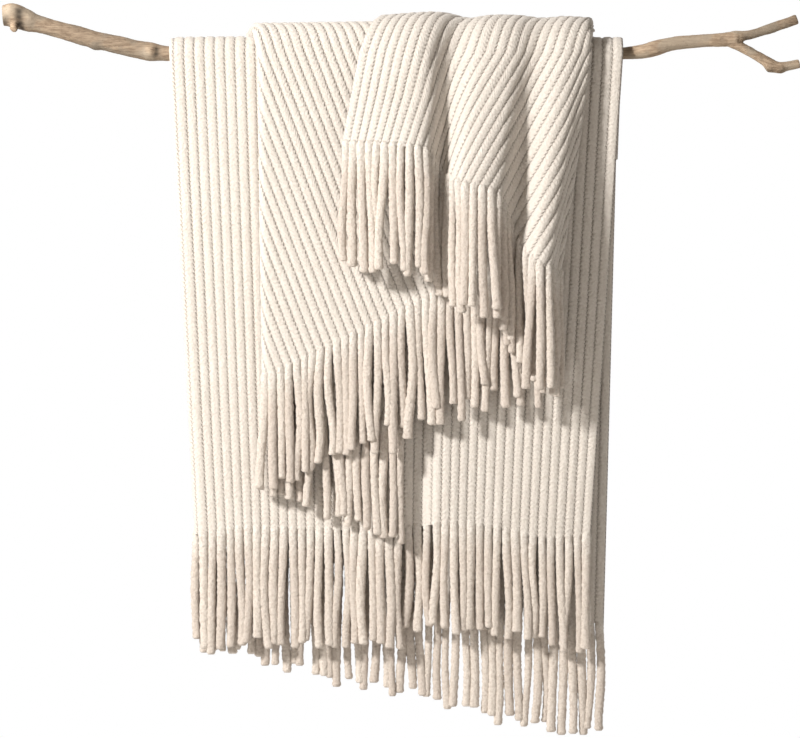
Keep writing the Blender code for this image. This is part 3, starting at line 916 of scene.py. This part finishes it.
def dry_bark():
    """Dry tan bark with long streaks, grey weathering, paler and darker knots, and painted shade and
    highlight.
    """
    n = Nodes("dry_bark")
    solid = n.add("ShaderNodeTexCoord").outputs["Object"]
    stretch = n.add("ShaderNodeMapping")
    stretch.inputs["Scale"].default_value = STREAK_STRETCH
    n.link(solid, stretch.inputs[0])
    streak = n.noise(stretch.outputs[0], BARK_STREAK)
    speck = n.noise(solid, BARK_SPECK)
    grey = n.math("MULTIPLY", n.ramp(n.noise(solid, BARK_PATCH), GREY_EDGE), GREY_SHARE)
    colour = n.blend(n.ramp(streak, STREAK_EDGE), BARK_DEEP, BARK_PALE)
    colour = n.blend(grey, colour, BARK_GREY)
    colour = n.blend(n.above(speck, SPECK_START, SPECK_SHARE), colour, BARK_PIT)
    toned = n.add("ShaderNodeVectorMath", operation="SCALE")
    n.link(colour, toned.inputs[0])
    n.link(n.add("ShaderNodeAttribute", attribute_name="tone").outputs["Fac"], toned.inputs["Scale"])
    surface = n.bump(speck, SPECK_RELIEF, n.bump(streak, STREAK_RELIEF))
    return n.finish(toned.outputs[0], BARK_FINISH, surface)


def pale_floor():
    """A plain pale floor under the throw."""
    bpy.ops.mesh.primitive_circle_add(
        vertices=FLOOR_SIDES, radius=FLOOR_RADIUS, fill_type="NGON", location=FLOOR_PLACE)
    floor = bpy.context.object
    floor.name = "floor"
    n = Nodes("pale_floor")
    solid = n.add("ShaderNodeTexCoord").outputs["Object"]
    colour = n.blend(n.noise(solid, FLOOR_CLOUD), FLOOR_DEEP, FLOOR_PALE)
    floor.data.materials.append(n.finish(colour, FLOOR_FINISH))


def area_light(name, place, size, power):
    """A soft square light that faces the throw."""
    lamp = bpy.data.lights.new(name, "AREA")
    lamp.shape = "SQUARE"
    lamp.size = size
    lamp.energy = power
    light = add_object(name, lamp)
    light.location = place
    light.rotation_euler = (Vector(LIT_PLACE) - Vector(place)).to_track_quat("-Z", "Y").to_euler()


def studio():
    """White surround, brightest behind the throw, with a key light at the left and a weak fill."""
    world = bpy.data.worlds.new("studio")
    bpy.context.scene.world = world
    world.use_nodes = True
    tree = world.node_tree
    direction = tree.nodes.new("ShaderNodeTexCoord")
    parts = tree.nodes.new("ShaderNodeSeparateXYZ")
    tree.links.new(direction.outputs["Generated"], parts.inputs[0])
    ramp = tree.nodes.new("ShaderNodeMapRange")
    ramp.inputs["From Min"].default_value = BACK_LIGHT_EDGE[0]
    ramp.inputs["From Max"].default_value = BACK_LIGHT_EDGE[1]
    tree.links.new(parts.outputs[1], ramp.inputs["Value"])
    colour = tree.nodes.new("ShaderNodeMix")
    colour.data_type = "RGBA"
    colour.inputs[6].default_value = (*FRONT_LIGHT, 1.0)
    colour.inputs[7].default_value = (*BACK_LIGHT, 1.0)
    tree.links.new(ramp.outputs[0], colour.inputs[0])
    tree.links.new(colour.outputs[2], tree.nodes["Background"].inputs["Color"])
    area_light("key", KEY_PLACE, KEY_SIZE, KEY_POWER)
    area_light("fill", FILL_PLACE, FILL_SIZE, FILL_POWER)


def camera():
    """A long lens square on to the throw, framed as the photograph."""
    view = bpy.data.cameras.new("camera")
    view.lens = LENS
    view.sensor_width = SENSOR
    view.clip_end = CLIP_END
    width = PHOTO_WIDTH * MM_PER_PIXEL * MM
    height = (ORIGIN_ROW - PHOTO_HEIGHT / 2) * MM_PER_PIXEL * MM
    eye = add_object("camera", view)
    eye.location = (width / 2, FOCUS_Y - width * LENS / SENSOR, height)
    eye.rotation_euler = (math.radians(90.0), 0.0, 0.0)
    bpy.context.scene.camera = eye


def dress(piece, material, slot, *nodes):
    """Give a piece its finish, and let it stand for its CAD nodes."""
    piece.data.materials.clear()
    piece.data.materials.append(material)
    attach(piece, "root")
    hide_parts(*nodes)


def main():
    """Make every piece, the light and the camera."""
    camera()
    studio()
    pale_floor()
    knit = chenille_knit()
    cord = chenille_cord()
    sheet = knit_sheet()
    long_fringe = fringe_strands("fringe_long", LONG_HEM, True)
    short_fringe = fringe_strands("fringe_short", SHORT_HEM, False)
    branch = bark_branch()
    dress(sheet, knit, "chenille", "knit_throw")
    dress(long_fringe, cord, "chenille_fringe", "fringe_long_end")
    dress(short_fringe, cord, "chenille_fringe", "fringe_short_end")
    dress(branch, dry_bark(), "bark", "branch")
    scene = bpy.context.scene
    scene.view_settings.view_transform = "Standard"
    scene.view_settings.look = "None"


main()
